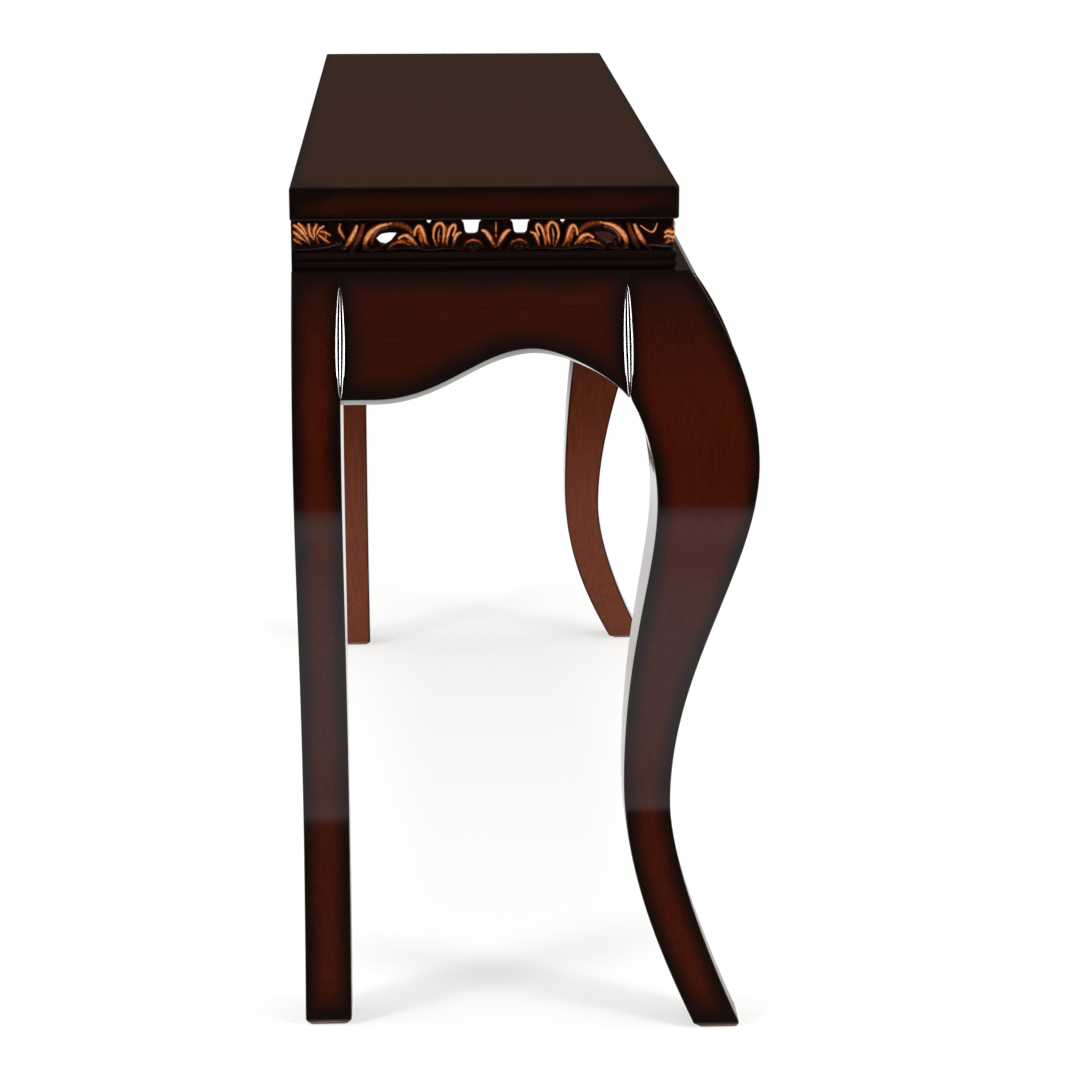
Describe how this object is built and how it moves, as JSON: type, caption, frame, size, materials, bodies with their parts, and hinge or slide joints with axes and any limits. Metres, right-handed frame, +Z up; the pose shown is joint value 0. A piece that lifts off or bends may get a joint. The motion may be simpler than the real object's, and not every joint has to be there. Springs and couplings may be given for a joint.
{
  "type": "pier table",
  "caption": "Narrow glossy wooden table for standing against a wall, with a plain top, a pierced carved frieze, arched swelling aprons and cabriole front legs.",
  "frame": {"origin": "on the floor, in the middle of the overall length and of the overall depth from the knees of the front legs to the back edge of the top", "axes": "+X along the table, from the left end to the right end as seen from the front; +Y from the front to the wall; +Z up"},
  "size_m": [1.338, 0.419, 0.79],
  "materials": {
    "mahogany_lacquer": "high-gloss red-brown lacquer with hand-shaded black-brown edges",
    "dark_lacquer": "high-gloss black-brown lacquer",
    "gilded_carving": "black-brown lacquer with gold brushed on the high leaves",
    "plain_hardwood": "unfinished, planed",
    "zinc_steel": "zinc-plated"
  },
  "bodies": {
    "root": {"apron_back": "mahogany_lacquer", "apron_dowels": "plain_hardwood", "apron_front": "mahogany_lacquer", "apron_left": "mahogany_lacquer", "apron_right": "mahogany_lacquer", "bearer_screws": "zinc_steel", "brace_screws": "zinc_steel", "corner_brace_back_left": "plain_hardwood", "corner_brace_back_right": "plain_hardwood", "corner_brace_front_left": "plain_hardwood", "corner_brace_front_right": "plain_hardwood", "corner_post_back_left": "plain_hardwood", "corner_post_back_right": "plain_hardwood", "corner_post_front_left": "plain_hardwood", "corner_post_front_right": "plain_hardwood", "frieze_back": "mahogany_lacquer", "frieze_dowels": "plain_hardwood", "frieze_front": "gilded_carving", "frieze_left": "gilded_carving", "frieze_right": "gilded_carving", "hanger_bolts": "zinc_steel", "hanger_nuts": "zinc_steel", "hanger_washers": "zinc_steel", "ledge_back": "dark_lacquer", "ledge_front": "dark_lacquer", "ledge_left": "dark_lacquer", "ledge_right": "dark_lacquer", "leg_back_left": "mahogany_lacquer", "leg_back_right": "mahogany_lacquer", "leg_front_left": "mahogany_lacquer", "leg_front_right": "mahogany_lacquer", "post_screws": "zinc_steel", "reeds_front_left": "dark_lacquer", "reeds_front_right": "dark_lacquer", "reeds_left_back": "dark_lacquer", "reeds_left_front": "dark_lacquer", "reeds_right_back": "dark_lacquer", "reeds_right_front": "dark_lacquer", "table_top": "mahogany_lacquer", "top_bearer_left": "plain_hardwood", "top_bearer_right": "plain_hardwood"}
  },
  "joints": []
}
